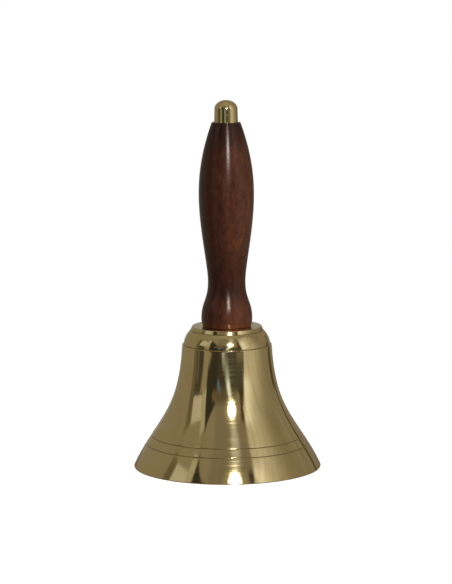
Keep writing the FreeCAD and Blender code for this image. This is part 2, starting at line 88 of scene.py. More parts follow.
class Outline:
    """The section of a turned piece, in radius and height: a chain of cubic Bezier stretches.

    A straight stretch is a cubic whose guides lie on its own line, and an arc is a cubic whose guides
    stand 4/3 tan(a quarter of its angle) radii along its end tangents, so one formula samples, trims
    and rounds them all. An outline is drawn with its metal on the right-hand side.
    """

    SPACING = 0.02  # from one even point to the next, in mm
    SAMPLES = 400  # points on each stretch before they are evened out

    def __init__(self, radius: float, height: float) -> None:
        """Starts the outline at a point.

        Args:
            radius: the point's radius.
            height: its height.
        """
        self.pen = np.array([radius, height], float)
        self.stretches: list[np.ndarray] = []
        self.rounds: list[float] = []

    def curve(self, first: Spot, second: Spot, end: Spot, ease: float = 0.0) -> None:
        """Adds a cubic stretch.

        Args:
            first: the guide near the start.
            second: the guide near the end.
            end: the end point.
            ease: radius that eases the corner at the end.
        """
        self.stretches.append(np.array([self.pen, first, second, end], float))
        self.rounds.append(ease)
        self.pen = np.array(end, float)

    def line(self, radius: float, height: float, ease: float = 0.0) -> None:
        """Adds a straight stretch.

        Args:
            radius: radius of its end.
            height: height of its end.
            ease: radius that eases the corner at the end.
        """
        end = np.array([radius, height], float)
        third = (end - self.pen) / 3.0
        self.curve(self.pen + third, end - third, end, ease)

    def arc(self, centre: Spot, end: Spot, ease: float = 0.0) -> None:
        """Adds a round stretch, which turns the short way to its end.

        Args:
            centre: the point that it turns about.
            end: the end point.
            ease: radius that eases the corner at the end.
        """
        first, last = self.pen - centre, np.array(end, float) - centre
        cross = first[0] * last[1] - first[1] * last[0]
        angle = math.atan2(cross, float(first @ last))
        hold = QUARTER_GUIDE * math.tan(angle / 4.0)
        start_guide = self.pen + hold * np.array([-first[1], first[0]])
        end_guide = np.array(end, float) - hold * np.array([-last[1], last[0]])
        self.curve(start_guide, end_guide, end, ease)

    def long_curve(self, guides: list[Spot], ease: float = 0.0) -> None:
        """Adds a cubic spline of four guides with its one knot halfway, as two Bezier stretches.

        The inner guides halve the polygon's middle sides, and the knot halves the line between them.

        Args:
            guides: the three guides after the start, and the end.
            ease: radius that eases the corner at the end.
        """
        one, two, three, end = (np.array(guide, float) for guide in guides)
        before, after = (one + two) / 2.0, (two + three) / 2.0
        self.curve(one, before, (before + after) / 2.0)
        self.curve(after, three, end, ease)

    @staticmethod
    def split(stretch: np.ndarray, share: float) -> tuple[np.ndarray, np.ndarray]:
        """Cuts a cubic in two, by de Casteljau's repeated division of the lines between its guides.

        Args:
            stretch: the cubic's four guides.
            share: the share of its parameter where it is cut.

        Returns:
            The guides of its two parts.
        """
        levels = [stretch]
        while len(levels[-1]) > 1:
            level = levels[-1]
            levels.append(level[:-1] * (1.0 - share) + level[1:] * share)
        return np.array([level[0] for level in levels]), np.array([level[-1] for level in levels[::-1]])

    @staticmethod
    def direction(start: np.ndarray, end: np.ndarray) -> np.ndarray:
        """Unit vector from one point to another."""
        return (end - start) / np.linalg.norm(end - start)

    def eased(self, closed: bool) -> list[np.ndarray]:
        """The stretches with each eased corner cut back and bridged by an arc.

        The arc of radius r across a turn of angle a starts r tan(a / 2) before the corner.

        Args:
            closed: whether the end joins the start.

        Returns:
            The guides of each stretch and bridge in order.
        """
        stretches = [stretch.copy() for stretch in self.stretches]
        bridges: dict[int, np.ndarray] = {}
        for number, ease in enumerate(self.rounds):
            following = (number + 1) % len(stretches)
            if ease <= 0.0 or (following == 0 and not closed):
                continue
            here, there = stretches[number], stretches[following]
            arriving, leaving = self.direction(here[2], here[3]), self.direction(there[0], there[1])
            turn = math.acos(float(np.clip(arriving @ leaving, -1.0, 1.0)))
            cut = ease * math.tan(turn / 2.0)
            here, _ = self.split(here, 1.0 - cut / (3.0 * np.linalg.norm(here[3] - here[2])))
            _, there = self.split(there, cut / (3.0 * np.linalg.norm(there[1] - there[0])))
            hold = QUARTER_GUIDE * math.tan(turn / 4.0) * ease
            bridges[number] = np.array([here[3], here[3] + hold * self.direction(here[2], here[3]),
                                        there[0] - hold * self.direction(there[0], there[1]), there[0]])
            stretches[number], stretches[following] = here, there
        chain: list[np.ndarray] = []
        for number, stretch in enumerate(stretches):
            chain.append(stretch)
            if number in bridges:
                chain.append(bridges[number])
        return chain

    def points(self, closed: bool) -> np.ndarray:
        """Points along the outline, evenly spaced.

        Args:
            closed: whether the end joins the start.

        Returns:
            Radius and height of each point, one a row.
        """
        share = np.linspace(0.0, 1.0, self.SAMPLES)[:, None]
        weights = np.hstack([
            (1 - share) ** 3, 3 * share * (1 - share) ** 2, 3 * share**2 * (1 - share), share**3,
        ])
        rough = np.concatenate([weights @ stretch for stretch in self.eased(closed)])
        if closed:
            rough = np.concatenate([rough, rough[:1]])
        travelled = np.concatenate([[0.0], np.cumsum(np.linalg.norm(np.diff(rough, axis=0), axis=1))])
        even = np.linspace(0.0, travelled[-1], int(travelled[-1] / self.SPACING) + 1)
        if closed:
            even = even[:-1]
        return np.stack([np.interp(even, travelled, rough[:, axis]) for axis in (0, 1)], axis=1)


def outline_headings(points: np.ndarray, closed: bool) -> np.ndarray:
    """Direction of travel at each point of an outline, from the points on either side.

    Args:
        points: the outline's points.
        closed: whether the end joins the start.

    Returns:
        The directions in radians, without jumps of a whole turn.
    """
    ahead, behind = np.roll(points, -1, axis=0), np.roll(points, 1, axis=0)
    if not closed:
        ahead[-1], behind[0] = points[-1], points[0]
    along = ahead - behind
    return np.unwrap(np.arctan2(along[:, 1], along[:, 0]))


def outline_edges(points: np.ndarray, closed: bool, reach: float = 0.45) -> np.ndarray:
    """How sharp an outline is near each point: towards 1 on an edge and towards -1 in a crease.

    It is the turn per millimetre to the right, averaged over the reach and flattened by tanh.

    Args:
        points: the outline's even points.
        closed: whether the end joins the start.
        reach: how far to either side is averaged, in mm.

    Returns:
        The sharpness at each point.
    """
    headings = outline_headings(points, closed)
    turn = -np.gradient(headings) / Outline.SPACING
    width = int(reach / Outline.SPACING)
    weights = np.hanning(2 * width + 1)
    padded = np.pad(turn, width, mode="wrap" if closed else "edge")
    return np.tanh(np.convolve(padded, weights / weights.sum(), mode="valid"))


@dataclass
class Skin:
    """A surface on a grid of rows along an outline and columns round an axis.

    Attributes:
        points: place of each grid point in metres, rows by columns by three.
        normals: outward unit vector at each grid point.
        lengths: distance along the outline of each row, in mm.
        traits: what materials read at each grid point, by name.
        rows_closed: whether the last row joins the first.
    """

    points: np.ndarray
    normals: np.ndarray
    lengths: np.ndarray
    traits: dict[str, np.ndarray]
    rows_closed: bool

    def wrapped(self, values: np.ndarray) -> np.ndarray:
        """Repeats the first column after the last, and the first row too on a closed outline.

        Args:
            values: a value for each grid point.

        Returns:
            The wider grid.
        """
        if self.rows_closed:
            values = np.concatenate([values, values[:1]], axis=0)
        return np.concatenate([values, values[:, :1]], axis=1)

    def corners(self) -> np.ndarray:
        """Finds the four corners of each cell, with one shared point at each pole.

        Returns:
            Grid numbers, four to a cell, in the order that faces outwards.
        """
        rows, columns = self.points.shape[:2]
        numbers = np.arange(rows * columns).reshape(rows, columns)
        if not self.rows_closed:
            for row in (0, rows - 1):
                if np.ptp(self.points[row], axis=0).max() < SAME_PLACE:
                    numbers[row] = numbers[row, 0]
        return self.cells(self.wrapped(numbers)[..., None])[..., 0]

    @staticmethod
    def cells(grid: np.ndarray) -> np.ndarray:
        """The grid's values at the four corners of each cell, round it in order."""
        corners = (grid[:-1, :-1], grid[1:, :-1], grid[1:, 1:], grid[:-1, 1:])
        return np.stack(corners, axis=2).reshape(-1, 4, grid.shape[-1])

    def turning(self) -> np.ndarray:
        """Works out the turning map: the share of a turn, and the length along the outline in mm.

        Returns:
            Both at the four corners of each cell.
        """
        rows, columns = self.points.shape[:2]
        along = np.append(self.lengths, self.lengths[-1] * 2 - self.lengths[-2])[: rows + self.rows_closed]
        share, length = np.meshgrid(np.arange(columns + 1) / columns, along)
        return self.cells(np.stack([share, length], axis=-1))


def place_round_axis(across: np.ndarray, along: np.ndarray, angles: np.ndarray, axis: Axis) -> np.ndarray:
    """Turns rows of (radius, height) through angles: (r cos a, r sin a, h), laid over for the y axis.

    Args:
        across: the radius of each row.
        along: the height of each row.
        angles: the angle of each column.
        axis: the way the axis points.

    Returns:
        A point or vector for each row and column.
    """
    x, y = across * np.cos(angles), across * np.sin(angles)
    height = np.broadcast_to(along, x.shape)
    return np.stack([x, y, height] if axis is Axis.UPRIGHT else [x, height, -y], axis=-1)


def turned(outline: Outline, fineness: Fineness, closed: bool = True, axis: Axis = Axis.UPRIGHT,
           centre: Triple = (0.0, 0.0, 0.0), points: np.ndarray | None = None,
           traits: dict[str, np.ndarray] | None = None) -> Skin:
    """A surface of revolution whose rows crowd together where the outline turns.

    Rows stand at even steps of a measure that grows with length and with turn, and each grid point is
    its row's point turned through its column's angle. Its normal is the row's tangent turned a quarter.

    Args:
        outline: the section.
        fineness: how closely it is divided.
        closed: whether the section closes on itself, as round a bore.
        axis: the way the axis points.
        centre: where the section's origin lies, in mm.
        points: the outline's even points, if something was carved in them.
        traits: further values at each even point.

    Returns:
        The surface.
    """
    columns, most_turn, most_length = fineness.value
    points = outline.points(closed) if points is None else points
    values = {"edge": outline_edges(points, closed), **(traits or {})}
    headings = outline_headings(points, closed)
    if closed:
        points = np.concatenate([points, points[:1]])
        headings = np.unwrap(np.append(headings, headings[0]))
        values = {name: np.append(value, value[0]) for name, value in values.items()}
    steps = np.linalg.norm(np.diff(points, axis=0), axis=1)
    travelled = np.concatenate([[0.0], np.cumsum(steps)])
    effort = np.abs(np.diff(headings)) / math.radians(most_turn) + steps / most_length
    measure = np.concatenate([[0.0], np.cumsum(effort)])
    wanted = np.linspace(0.0, measure[-1], math.ceil(measure[-1]) + 1)
    if closed:
        wanted = wanted[:-1]
    radius, height, heading, length = (
        np.interp(wanted, measure, value) for value in (points[:, 0], points[:, 1], headings, travelled))
    angles = np.arange(columns) / columns * math.tau
    if not closed:
        heading[0], heading[-1] = 0.0, math.pi
    place = place_round_axis(radius[:, None], height[:, None], angles[None, :], axis)
    normal = place_round_axis(-np.sin(heading)[:, None], np.cos(heading)[:, None], angles[None, :], axis)
    grids = {name: np.repeat(np.interp(wanted, measure, value)[:, None], columns, axis=1)
             for name, value in values.items()}
    return Skin((place + np.array(centre)) * MM, normal, length, grids, closed)


def make_piece(name: str, skins: list[Skin]) -> bpy.types.Object:
    """Puts surfaces into one mesh object, with their normals, turning map and traits.

    Args:
        name: the piece's name.
        skins: its surfaces.

    Returns:
        The object, at the origin with its place in its mesh.
    """
    offsets = np.cumsum([0] + [skin.points[..., 0].size for skin in skins])
    corners = np.concatenate([skin.corners() + offset for skin, offset in zip(skins, offsets)])
    turning = np.concatenate([skin.turning() for skin in skins])
    used, compact = np.unique(corners, return_inverse=True)
    corners = compact.reshape(-1, 4)

    top, foot = corners[:, 0] == corners[:, 3], corners[:, 1] == corners[:, 2]
    groups = [(~(top | foot), [0, 1, 2, 3]), (top, [0, 1, 2]), (foot, [0, 1, 3])]
    loops = np.concatenate([corners[chosen][:, kept].ravel() for chosen, kept in groups])
    loop_map = np.concatenate([turning[chosen][:, kept].reshape(-1, 2) for chosen, kept in groups])
    sides = np.concatenate([np.full(int(chosen.sum()), len(kept)) for chosen, kept in groups])

    mesh = bpy.data.meshes.new(name)
    points, normals = (np.concatenate([grid.reshape(-1, 3) for grid in grids])[used]
                       for grids in ([skin.points for skin in skins], [skin.normals for skin in skins]))
    mesh.vertices.add(len(used))
    mesh.vertices.foreach_set("co", points.ravel())
    mesh.loops.add(len(loops))
    mesh.loops.foreach_set("vertex_index", loops.astype(np.int32))
    mesh.polygons.add(len(sides))
    mesh.polygons.foreach_set("loop_start", (np.cumsum(sides) - sides).astype(np.int32))
    mesh.update(calc_edges=True)
    mesh.shade_smooth()
    mesh.uv_layers.new(name=TURNING_MAP).data.foreach_set("uv", loop_map.ravel())
    for trait in skins[0].traits:
        values = np.concatenate([skin.traits[trait].ravel() for skin in skins])[used]
        mesh.attributes.new(trait, "FLOAT", "POINT").data.foreach_set("value", values.astype(np.float32))
    mesh.normals_split_custom_set_from_vertices(normals.tolist())
    mesh.validate()
    piece = bpy.data.objects.new(name, mesh)
    bpy.context.scene.collection.objects.link(piece)
    return piece


def level(node: str, top: bool) -> float:
    """Height in mm of the top or foot of a CAD node."""
    low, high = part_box(node)
    return (high if top else low).z / MM


def measured(node: str, top: bool) -> float:
    """A size field that takes the height of a CAD node's top or foot when its class is made."""
    return field(default_factory=lambda: level(node, top))


# --- Finishes ---


def linear(hex_colour: str) -> tuple[float, float, float, float]:
    """An sRGB hex colour as linear red, green, blue and full alpha."""
    parts = [int(hex_colour[place:place + 2], 16) / 255.0 for place in (1, 3, 5)]
    return (*(part / 12.92 if part <= 0.04045 else ((part + 0.055) / 1.055) ** 2.4 for part in parts), 1.0)


@dataclass(frozen=True)
class Ramp:
    """A passage from one pair of levels to another, flat beyond its ends.

    Attributes:
        start, end: levels of the value that comes in.
        low, high: what they become.
    """

    start: float
    end: float
    low: float = 0.0
    high: float = 1.0

    def of(self, value: Socket) -> dict[str, object]:
        """What a Map Range node needs to carry a value through the passage."""
        return {"Value": value, "From Min": self.start, "From Max": self.end,
                "To Min": self.low, "To Max": self.high}

    def times(self, amount: float) -> "Ramp":
        """The same passage with its results multiplied."""
        return Ramp(self.start, self.end, self.low * amount, self.high * amount)


@dataclass(frozen=True)
class Mottle:
    """Cloudy variation about 0.5.

    Attributes:
        size: width of its largest patches, in the units of the place it is read at.
        detail: how many finer layers lie over them.
        roughness: how strong each layer is beside the one before.
        distortion: how far it is stirred.
    """

    size: float
    detail: float = 2.0
    roughness: float = 0.5
    distortion: float = 0.0

    def at(self, place: Socket) -> dict[str, object]:
        """What a Noise node needs to draw it at a place."""
        return {"Vector": place, "Scale": 1.0 / self.size, "Detail": self.detail,
                "Roughness": self.roughness, "Distortion": self.distortion}


class Graph:
    """The nodes of a material or of the world while they are wired."""

    def __init__(self, tree: bpy.types.NodeTree) -> None:
        """Empties a node tree and keeps it."""
        tree.nodes.clear()
        self.tree = tree

    def add(self, kind: str, inputs: dict | None = None, out: int | str = 0,
            **settings: object) -> Socket | None:
        """Adds one node with its settings and links.

        Args:
            kind: Blender's name for the node, after "ShaderNode".
            inputs: by input name or number, a value, or the output that feeds it.
            out: name or number of the output that is wanted.
            settings: properties of the node.

        Returns:
            The wanted output, or nothing from a node without outputs.
        """
        node = self.tree.nodes.new("ShaderNode" + kind)
        for name, value in settings.items():
            setattr(node, name, value)
        for name, value in (inputs or {}).items():
            if isinstance(value, Socket):
                self.tree.links.new(value, node.inputs[name])
            else:
                node.inputs[name].default_value = value
        return node.outputs[out] if node.outputs else None


def new_material(name: str) -> tuple[bpy.types.Material, Graph]:
    """Makes an empty node material.

    Args:
        name: the material's name.

    Returns:
        The material and its nodes.
    """
    material = bpy.data.materials.new(name)
    material.use_nodes = True
    return material, Graph(material.node_tree)


@dataclass(frozen=True)
class PolishedBrass:
    """Cast brass, turned and buffed: a mirror with a warm tint, drawn out a little across its lathe lines.

    The buffing wheel leaves fine rings round the axis and residue in the creases. Inside the mouth the
    metal is left as it was turned, duller and browner.
    """

    name: str = "polished_brass"
    metal: str = "#EBD49D"
    aged_metal: str = "#DEC68C"
    residue: str = "#6A4A20"
    inside_metal: str = "#C8B07C"
    roughness: float = 0.045
    anisotropy: float = 0.75
    ring_pitch: float = 0.8  # buffing rings in mm; real ones are finer than 0.1 and would not show
    ring_breaks: float = 3.0  # how often a ring changes on its way round
    ring_height: float = 0.0018
    ripple_height: float = 0.004
    rings: Mottle = Mottle(1.0, 4.0, 0.7)
    ripples: Mottle = Mottle(9.0, 1.0)  # soft waves left by hand buffing, in mm
    patches: Mottle = Mottle(14.0, 5.0, 0.6)  # uneven ageing, in mm
    scuffs: Mottle = Mottle(0.8, 4.0, 0.7)  # drawn coarse enough to show, in mm
    ageing: Ramp = Ramp(0.42, 0.68, 0.0, 0.45)  # share of aged metal in the patches
    creases: Ramp = Ramp(-0.2, -0.8, 0.0, 0.72)  # share of residue where the surface folds in
    wear: Ramp = Ramp(0.35, 0.7, 0.8, 1.35)  # roughness of the patches beside the rest
    scratches: Ramp = Ramp(0.46, 0.9, 0.0, 0.2)  # roughness added by the deeper rings
    inside_roughness: Ramp = Ramp(0.0, 1.0, 0.0, 0.32)
    inside_depth: Ramp = Ramp(0.0, 1.0, 1.0, 14.0)  # how much deeper the rings are inside
    scuff_roughness: float = 0.03
    residue_roughness: float = 0.3

    def build(self) -> bpy.types.Material:
        """Makes the material.

        Returns:
            The material.
        """
        material, graph = new_material(self.name)
        in_mm = graph.add("Mapping", {0: graph.add("TexCoord", out="Object"), 3: TO_MM})
        turning = graph.add("UVMap", uv_map=TURNING_MAP)
        edge = graph.add("Attribute", out="Fac", attribute_name="edge")
        inside = graph.add("Attribute", out="Fac", attribute_name="inside")
        rings_at = graph.add("Mapping", {0: turning, 3: (self.ring_breaks, 1.0 / self.ring_pitch, 1.0)})
        rings = graph.add("TexNoise", self.rings.at(rings_at))
        ripples = graph.add("TexNoise", self.ripples.at(in_mm))
        patches = graph.add("TexNoise", self.patches.at(in_mm))
        scuffs = graph.add("TexNoise", self.scuffs.at(in_mm))

        aged = graph.add("MapRange", self.ageing.of(patches))
        dirt = graph.add("MapRange", self.creases.of(edge), interpolation_type="SMOOTHSTEP")
        tone = linear(self.metal)
        for share, colour in ((aged, self.aged_metal), (inside, self.inside_metal), (dirt, self.residue)):
            tone = graph.add("Mix", {0: share, 6: tone, 7: linear(colour)}, 2, data_type="RGBA")

        worn = graph.add("MapRange", self.wear.times(self.roughness).of(patches))
        scuffed = graph.add("Math", {0: scuffs, 1: self.scuff_roughness, 2: worn}, operation="MULTIPLY_ADD")
        inner = graph.add("MapRange", self.inside_roughness.of(inside))
        dulled = graph.add("Math", {0: dirt, 1: self.residue_roughness, 2: inner}, operation="MULTIPLY_ADD")
        scratched = graph.add("MapRange", self.scratches.of(rings))
        buffed = graph.add("Math", {0: scuffed, 1: scratched}, operation="ADD")
        roughness = graph.add("Math", {0: buffed, 1: dulled}, operation="ADD")

        soft = graph.add("Bump", {"Height": ripples, "Distance": self.ripple_height * MM})
        depth = graph.add("MapRange", self.inside_depth.of(inside))
        ring_level = graph.add("Math", {0: rings, 1: depth}, operation="MULTIPLY")
        grain = graph.add("Bump", {"Height": ring_level, "Distance": self.ring_height * MM, "Normal": soft})
        shader = graph.add("BsdfPrincipled", {
            "Base Color": tone, "Metallic": 1.0, "Roughness": roughness, "Normal": grain,
            "Anisotropic": self.anisotropy, "Anisotropic Rotation": ACROSS_LATHE_LINES,
            "Tangent": graph.add("Tangent", direction_type="RADIAL", axis="Z")})
        graph.add("OutputMaterial", {"Surface": shader})
        return material


@dataclass(frozen=True)
class LacqueredHardwood:
    """A dense red-brown hardwood, turned along its grain, stained dark and lacquered to a gloss.

    Growth rings stand about an axis beside the grip, so they show as long figure on its sides. Fine dark
    pores and fibres run lengthwise, and the clear lacquer fills them to a nearly even coat.
    """

    name: str = "lacquered_hardwood"
    dark: str = "#44241B"
    middle: str = "#643826"
    light: str = "#8E5632"
    pore: str = "#221210"
    shine: str = "#FFEFE7"  # tint of what the lacquer reflects
    shine_level: float = 0.34
    ior: float = 1.5
    anisotropy: float = 0.62
    heart: Triple = (-30.0, 50.0, 30.0)  # where the rings are centred, in mm
    drawn_out: float = 0.22  # how much slower the figure changes along the grip
    shaded_dark_ring: float = 58.0  # radius of a dark ring of heartwood that crosses the grip's left side: partly grain, partly painted shade on that side
    paling: Ramp = Ramp(4.5, 15.5)  # from dark to pale on either side of it, in mm; the paler right side is partly painted light
    ring_width: float = 4.2
    ring_stir: float = 1.5
    ring_layers: float = 2.0
    ring_layer_scale: float = 0.8
    waver: Mottle = Mottle(9.0, 3.0, 0.5)  # how the rings wander, in mm
    waver_push: float = 5.0
    figure: Mottle = Mottle(16.0, 4.0, 0.55)
    figure_share: Ramp = Ramp(0.33, 0.67, 0.75, 1.2)
    late_wood: Ramp = Ramp(0.2, 0.9, 0.0, 0.2)  # share of the light colour in each ring
    stains: Mottle = Mottle(3.6, 6.0, 0.7, 0.8)  # where the stain took unevenly, in mm
    stains_drawn_out: float = 0.5
    stain_depth: Ramp = Ramp(0.32, 0.68, 0.62, 1.38)
    narrow_darkening: Ramp = Ramp(8.5, 13.5, 0.66, 1.0)  # narrow parts of the grip, by radius in mm, are darker
    fibres: Mottle = Mottle(0.28, 3.0, 0.6)  # real pores are 0.1 mm; these are coarser, so that they show
    fibre_length: float = 6.0
    pore_share: Ramp = Ramp(0.6, 0.75, 0.0, 0.3)
    pore_depth: float = 0.006
    gloss: Ramp = Ramp(0.3, 0.75, 0.22, 0.26)
    chatter: Mottle = Mottle(1.0, 1.5)  # faint marks left by the gouge
    chatter_pitch: float = 1.3
    chatter_breaks: float = 2.5
    chatter_depth: float = 0.025
    foot_glow: float = 1.2  # how much paler the rim of the foot is: painted light, the brass disc's glow reflected onto it
    foot_glow_reach: Pair = (1.56, 3.64)  # how high it is palest and how high it ends, over the foot
    top_tone_level: float = 0.82  # level at the top: the colour darkens steadily towards the top, and the foot is as much over 1
    foot_height: float = measured("wood_grip", top=False)
    top_height: float = measured("wood_grip", top=True)

    def stain_and_foot_glow(self, graph: Graph, in_mm: Socket) -> Socket:
        """How light each place is: the product of uneven staining, darkening of narrow parts, darkening
        towards the top, and painted light on the foot's rim.

        Args:
            graph: the material's nodes.
            in_mm: the place in mm.

        Returns:
            What the wood's own colour is multiplied by.
        """
        stains_at = graph.add("Mapping", {0: in_mm, 3: (1.0, 1.0, self.stains_drawn_out)})
        stains = graph.add("TexNoise", self.stains.at(stains_at))
        across = graph.add("VectorMath", {0: in_mm, 1: (1.0, 1.0, 0.0)}, operation="MULTIPLY")
        radius = graph.add("VectorMath", {0: across}, "Value", operation="LENGTH")
        height = graph.add("SeparateXYZ", {0: in_mm}, out=2)
        palest, ends = (self.foot_height + reach for reach in self.foot_glow_reach)
        by_height = Ramp(self.foot_height, self.top_height, 2.0 - self.top_tone_level, self.top_tone_level)
        # painted light: the rim of the foot is paler where the brass disc's glow falls on it
        rim = Ramp(ends, palest, 1.0, self.foot_glow)
        share = graph.add("MapRange", self.stain_depth.of(stains))
        for passage, value, kind in ((self.narrow_darkening, radius, "SMOOTHSTEP"), (by_height, height, "LINEAR"),
                                     (rim, height, "SMOOTHSTEP")):
            factor = graph.add("MapRange", passage.of(value), interpolation_type=kind)
            share = graph.add("Math", {0: share, 1: factor}, operation="MULTIPLY")
        return share

    def build(self) -> bpy.types.Material:
        """Makes the material.

        Returns:
            The material.
        """
        material, graph = new_material(self.name)
        in_mm = graph.add("Mapping", {0: graph.add("TexCoord", out="Object"), 3: TO_MM})
        drawn = graph.add("Mapping", {
            0: in_mm, 1: tuple(-part for part in self.heart), 3: (1.0, 1.0, self.drawn_out)})
        waver = graph.add("TexNoise", self.waver.at(drawn), "Color")
        pushed = graph.add("VectorMath", {
            0: waver, 1: (self.waver_push, self.waver_push, 0.0), 2: drawn}, operation="MULTIPLY_ADD")
        # a wave repeats after a twentieth of a turn of its scaled place
        rings = graph.add("TexWave", {
            "Vector": pushed, "Scale": math.tau / 20.0 / self.ring_width, "Distortion": self.ring_stir,
            "Detail": self.ring_layers, "Detail Scale": self.ring_layer_scale},
            "Fac", wave_type="RINGS", rings_direction="Z", wave_profile="SAW")
        figure = graph.add("TexNoise", self.figure.at(drawn))
        fibres_at = graph.add("Mapping", {0: in_mm, 3: (1.0, 1.0, self.fibres.size / self.fibre_length)})
        fibres = graph.add("TexNoise", self.fibres.at(fibres_at))

        # a dark band over the grip's left side, paling to the right: grain figure, with painted shade on the
        # left and painted light on the right
        flat = graph.add("VectorMath", {0: pushed, 1: (1.0, 1.0, 0.0)}, operation="MULTIPLY")
        reach = graph.add("VectorMath", {0: flat}, "Value", operation="LENGTH")
        away = graph.add("Math", {0: reach, 1: self.shaded_dark_ring}, operation="SUBTRACT")
        apart = graph.add("Math", {0: away}, operation="ABSOLUTE")
        pale = graph.add("MapRange", self.paling.of(apart), interpolation_type="SMOOTHSTEP")
        patchy = graph.add("MapRange", self.figure_share.of(figure))
        broad = graph.add("Math", {0: pale, 1: patchy}, operation="MULTIPLY", use_clamp=True)
        warm = graph.add("Math", {0: rings, 1: broad}, operation="MULTIPLY")
        warmed = graph.add("MapRange", self.late_wood.of(warm))
        pores = graph.add("MapRange", self.pore_share.of(fibres))
        tone = linear(self.dark)
        for share, colour in ((broad, self.middle), (warmed, self.light)):
            tone = graph.add("Mix", {0: share, 6: tone, 7: linear(colour)}, 2, data_type="RGBA")
        tone = graph.add("VectorMath", {0: tone, 3: self.stain_and_foot_glow(graph, in_mm)}, operation="SCALE")
        tone = graph.add("Mix", {0: pores, 6: tone, 7: linear(self.pore)}, 2, data_type="RGBA")

        turning = graph.add("UVMap", uv_map=TURNING_MAP)
        chatter_at = graph.add("Mapping", {
            0: turning, 3: (self.chatter_breaks, 1.0 / self.chatter_pitch, 1.0)})
        chatter = graph.add("TexNoise", self.chatter.at(chatter_at))
        pitted = graph.add("Bump", {"Height": fibres, "Distance": self.pore_depth * MM})
        gouged = graph.add("Bump", {
            "Height": chatter, "Distance": self.chatter_depth * MM, "Normal": pitted})
        shader = graph.add("BsdfPrincipled", {
            "Base Color": tone, "Roughness": graph.add("MapRange", self.gloss.of(fibres)), "Normal": gouged,
            "IOR": self.ior, "Specular IOR Level": self.shine_level, "Specular Tint": linear(self.shine),
            "Anisotropic": self.anisotropy, "Anisotropic Rotation": ACROSS_LATHE_LINES,
            "Tangent": graph.add("Tangent", direction_type="RADIAL", axis="Z")})
        graph.add("OutputMaterial", {"Surface": shader})
        return material


@dataclass(frozen=True)
class PlainMetal:
    """A machined metal fitting: fine tool marks, a little uneven in tone and gloss.

    Attributes:
        name: the material's name.
        tone: colour of clean metal.
        dull: colour where it has gone dull.
        roughness: how soft its reflections are.
        mark_pitch: spacing of its tool marks, in mm.
        mark_depth: depth of its tool marks, in mm.
        patches: where it is dull, in mm.
        dulling: share of the dull colour in the patches.
        wear: roughness of the patches beside the rest.
    """

    name: str
    tone: str
    dull: str
    roughness: float
    mark_pitch: float
    mark_depth: float = 0.004
    patches: Mottle = Mottle(2.5, 4.0, 0.6)
    dulling: Ramp = Ramp(0.4, 0.65)
    wear: Ramp = Ramp(0.3, 0.7, 0.8, 1.3)

    def build(self) -> bpy.types.Material:
        """Makes the material.

        Returns:
            The material.
        """
        material, graph = new_material(self.name)
        in_mm = graph.add("Mapping", {0: graph.add("TexCoord", out="Object"), 3: TO_MM})
        patches = graph.add("TexNoise", self.patches.at(in_mm))
        marks = graph.add("TexNoise", Mottle(self.mark_pitch).at(in_mm))
        dulled = graph.add("MapRange", self.dulling.of(patches))
        tone = graph.add("Mix", {0: dulled, 6: linear(self.tone), 7: linear(self.dull)}, 2, data_type="RGBA")
        shader = graph.add("BsdfPrincipled", {
            "Base Color": tone, "Metallic": 1.0,
            "Roughness": graph.add("MapRange", self.wear.times(self.roughness).of(patches)),
            "Normal": graph.add("Bump", {"Height": marks, "Distance": self.mark_depth * MM})})
        graph.add("OutputMaterial", {"Surface": shader})
        return material


class Finishes:
    """The finishes of the bell, one material for each slot of the record."""

    def __init__(self) -> None:
        """Makes every material once."""
        self.materials = {
            "polished_brass": PolishedBrass().build(),
            "lacquered_hardwood": LacqueredHardwood().build(),
            # sand cast and lightly filed, so it shines without mirroring
            "cast_brass": PlainMetal("cast_brass", "#C9A866", "#8F7440", 0.3, 0.35).build(),
            # cold drawn steel with a thin plate of zinc, which looks cool and silky
            "zinc_steel": PlainMetal("zinc_plated_steel", "#B9BCC0", "#8A8D92", 0.34, 0.25).build(),
            # hardened and oiled, which leaves it dark
            "spring_steel": PlainMetal("spring_steel", "#6E6C6A", "#4A4846", 0.38, 0.3).build(),
        }

    def dress(self, piece: bpy.types.Object, slot: str) -> None:
        """Gives a new piece the finish of a slot.

        Args:
            piece: the piece.
            slot: the slot.
        """
        piece.data.materials.clear()
        piece.data.materials.append(self.materials[slot])

    def dress_node(self, node: str, slot: str) -> None:
        """Gives a CAD node that stays in view the finish of a slot.

        Args:
            node: the node.
            slot: the slot.
        """
        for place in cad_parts[node].material_slots:
            place.link = "OBJECT"
            place.material = self.materials[slot]
        LOG.info("%s: CAD shape in %s", node, slot)


def settle(piece: bpy.types.Object, body: str, node: str) -> None:
    """Lets a piece ride on a body in place of its CAD node, and reports it.

    Args:
        piece: the piece.
        body: the body.
        node: the node that it stands for.
    """
    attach(piece, body)
    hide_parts(node)
    LOG.info("%s: %d faces on %s for %s", piece.name, len(piece.data.polygons), body, node)


# --- Sub-assemblies ---


class TurnedPart:
    """A sub-assembly of one turned piece, which rides on the root in place of one CAD node."""

    node: ClassVar[str]
    slot: ClassVar[str]

    def skin(self) -> Skin:
        """The piece's surface, which each part works out."""
        raise NotImplementedError

    def build(self, finishes: Finishes) -> None:
        """Makes the piece and gives it its finish.

        Args:
            finishes: the bell's finishes.
        """
        piece = make_piece(self.node + "_turned", [self.skin()])
        finishes.dress(piece, self.slot)
        settle(piece, "root", self.node)


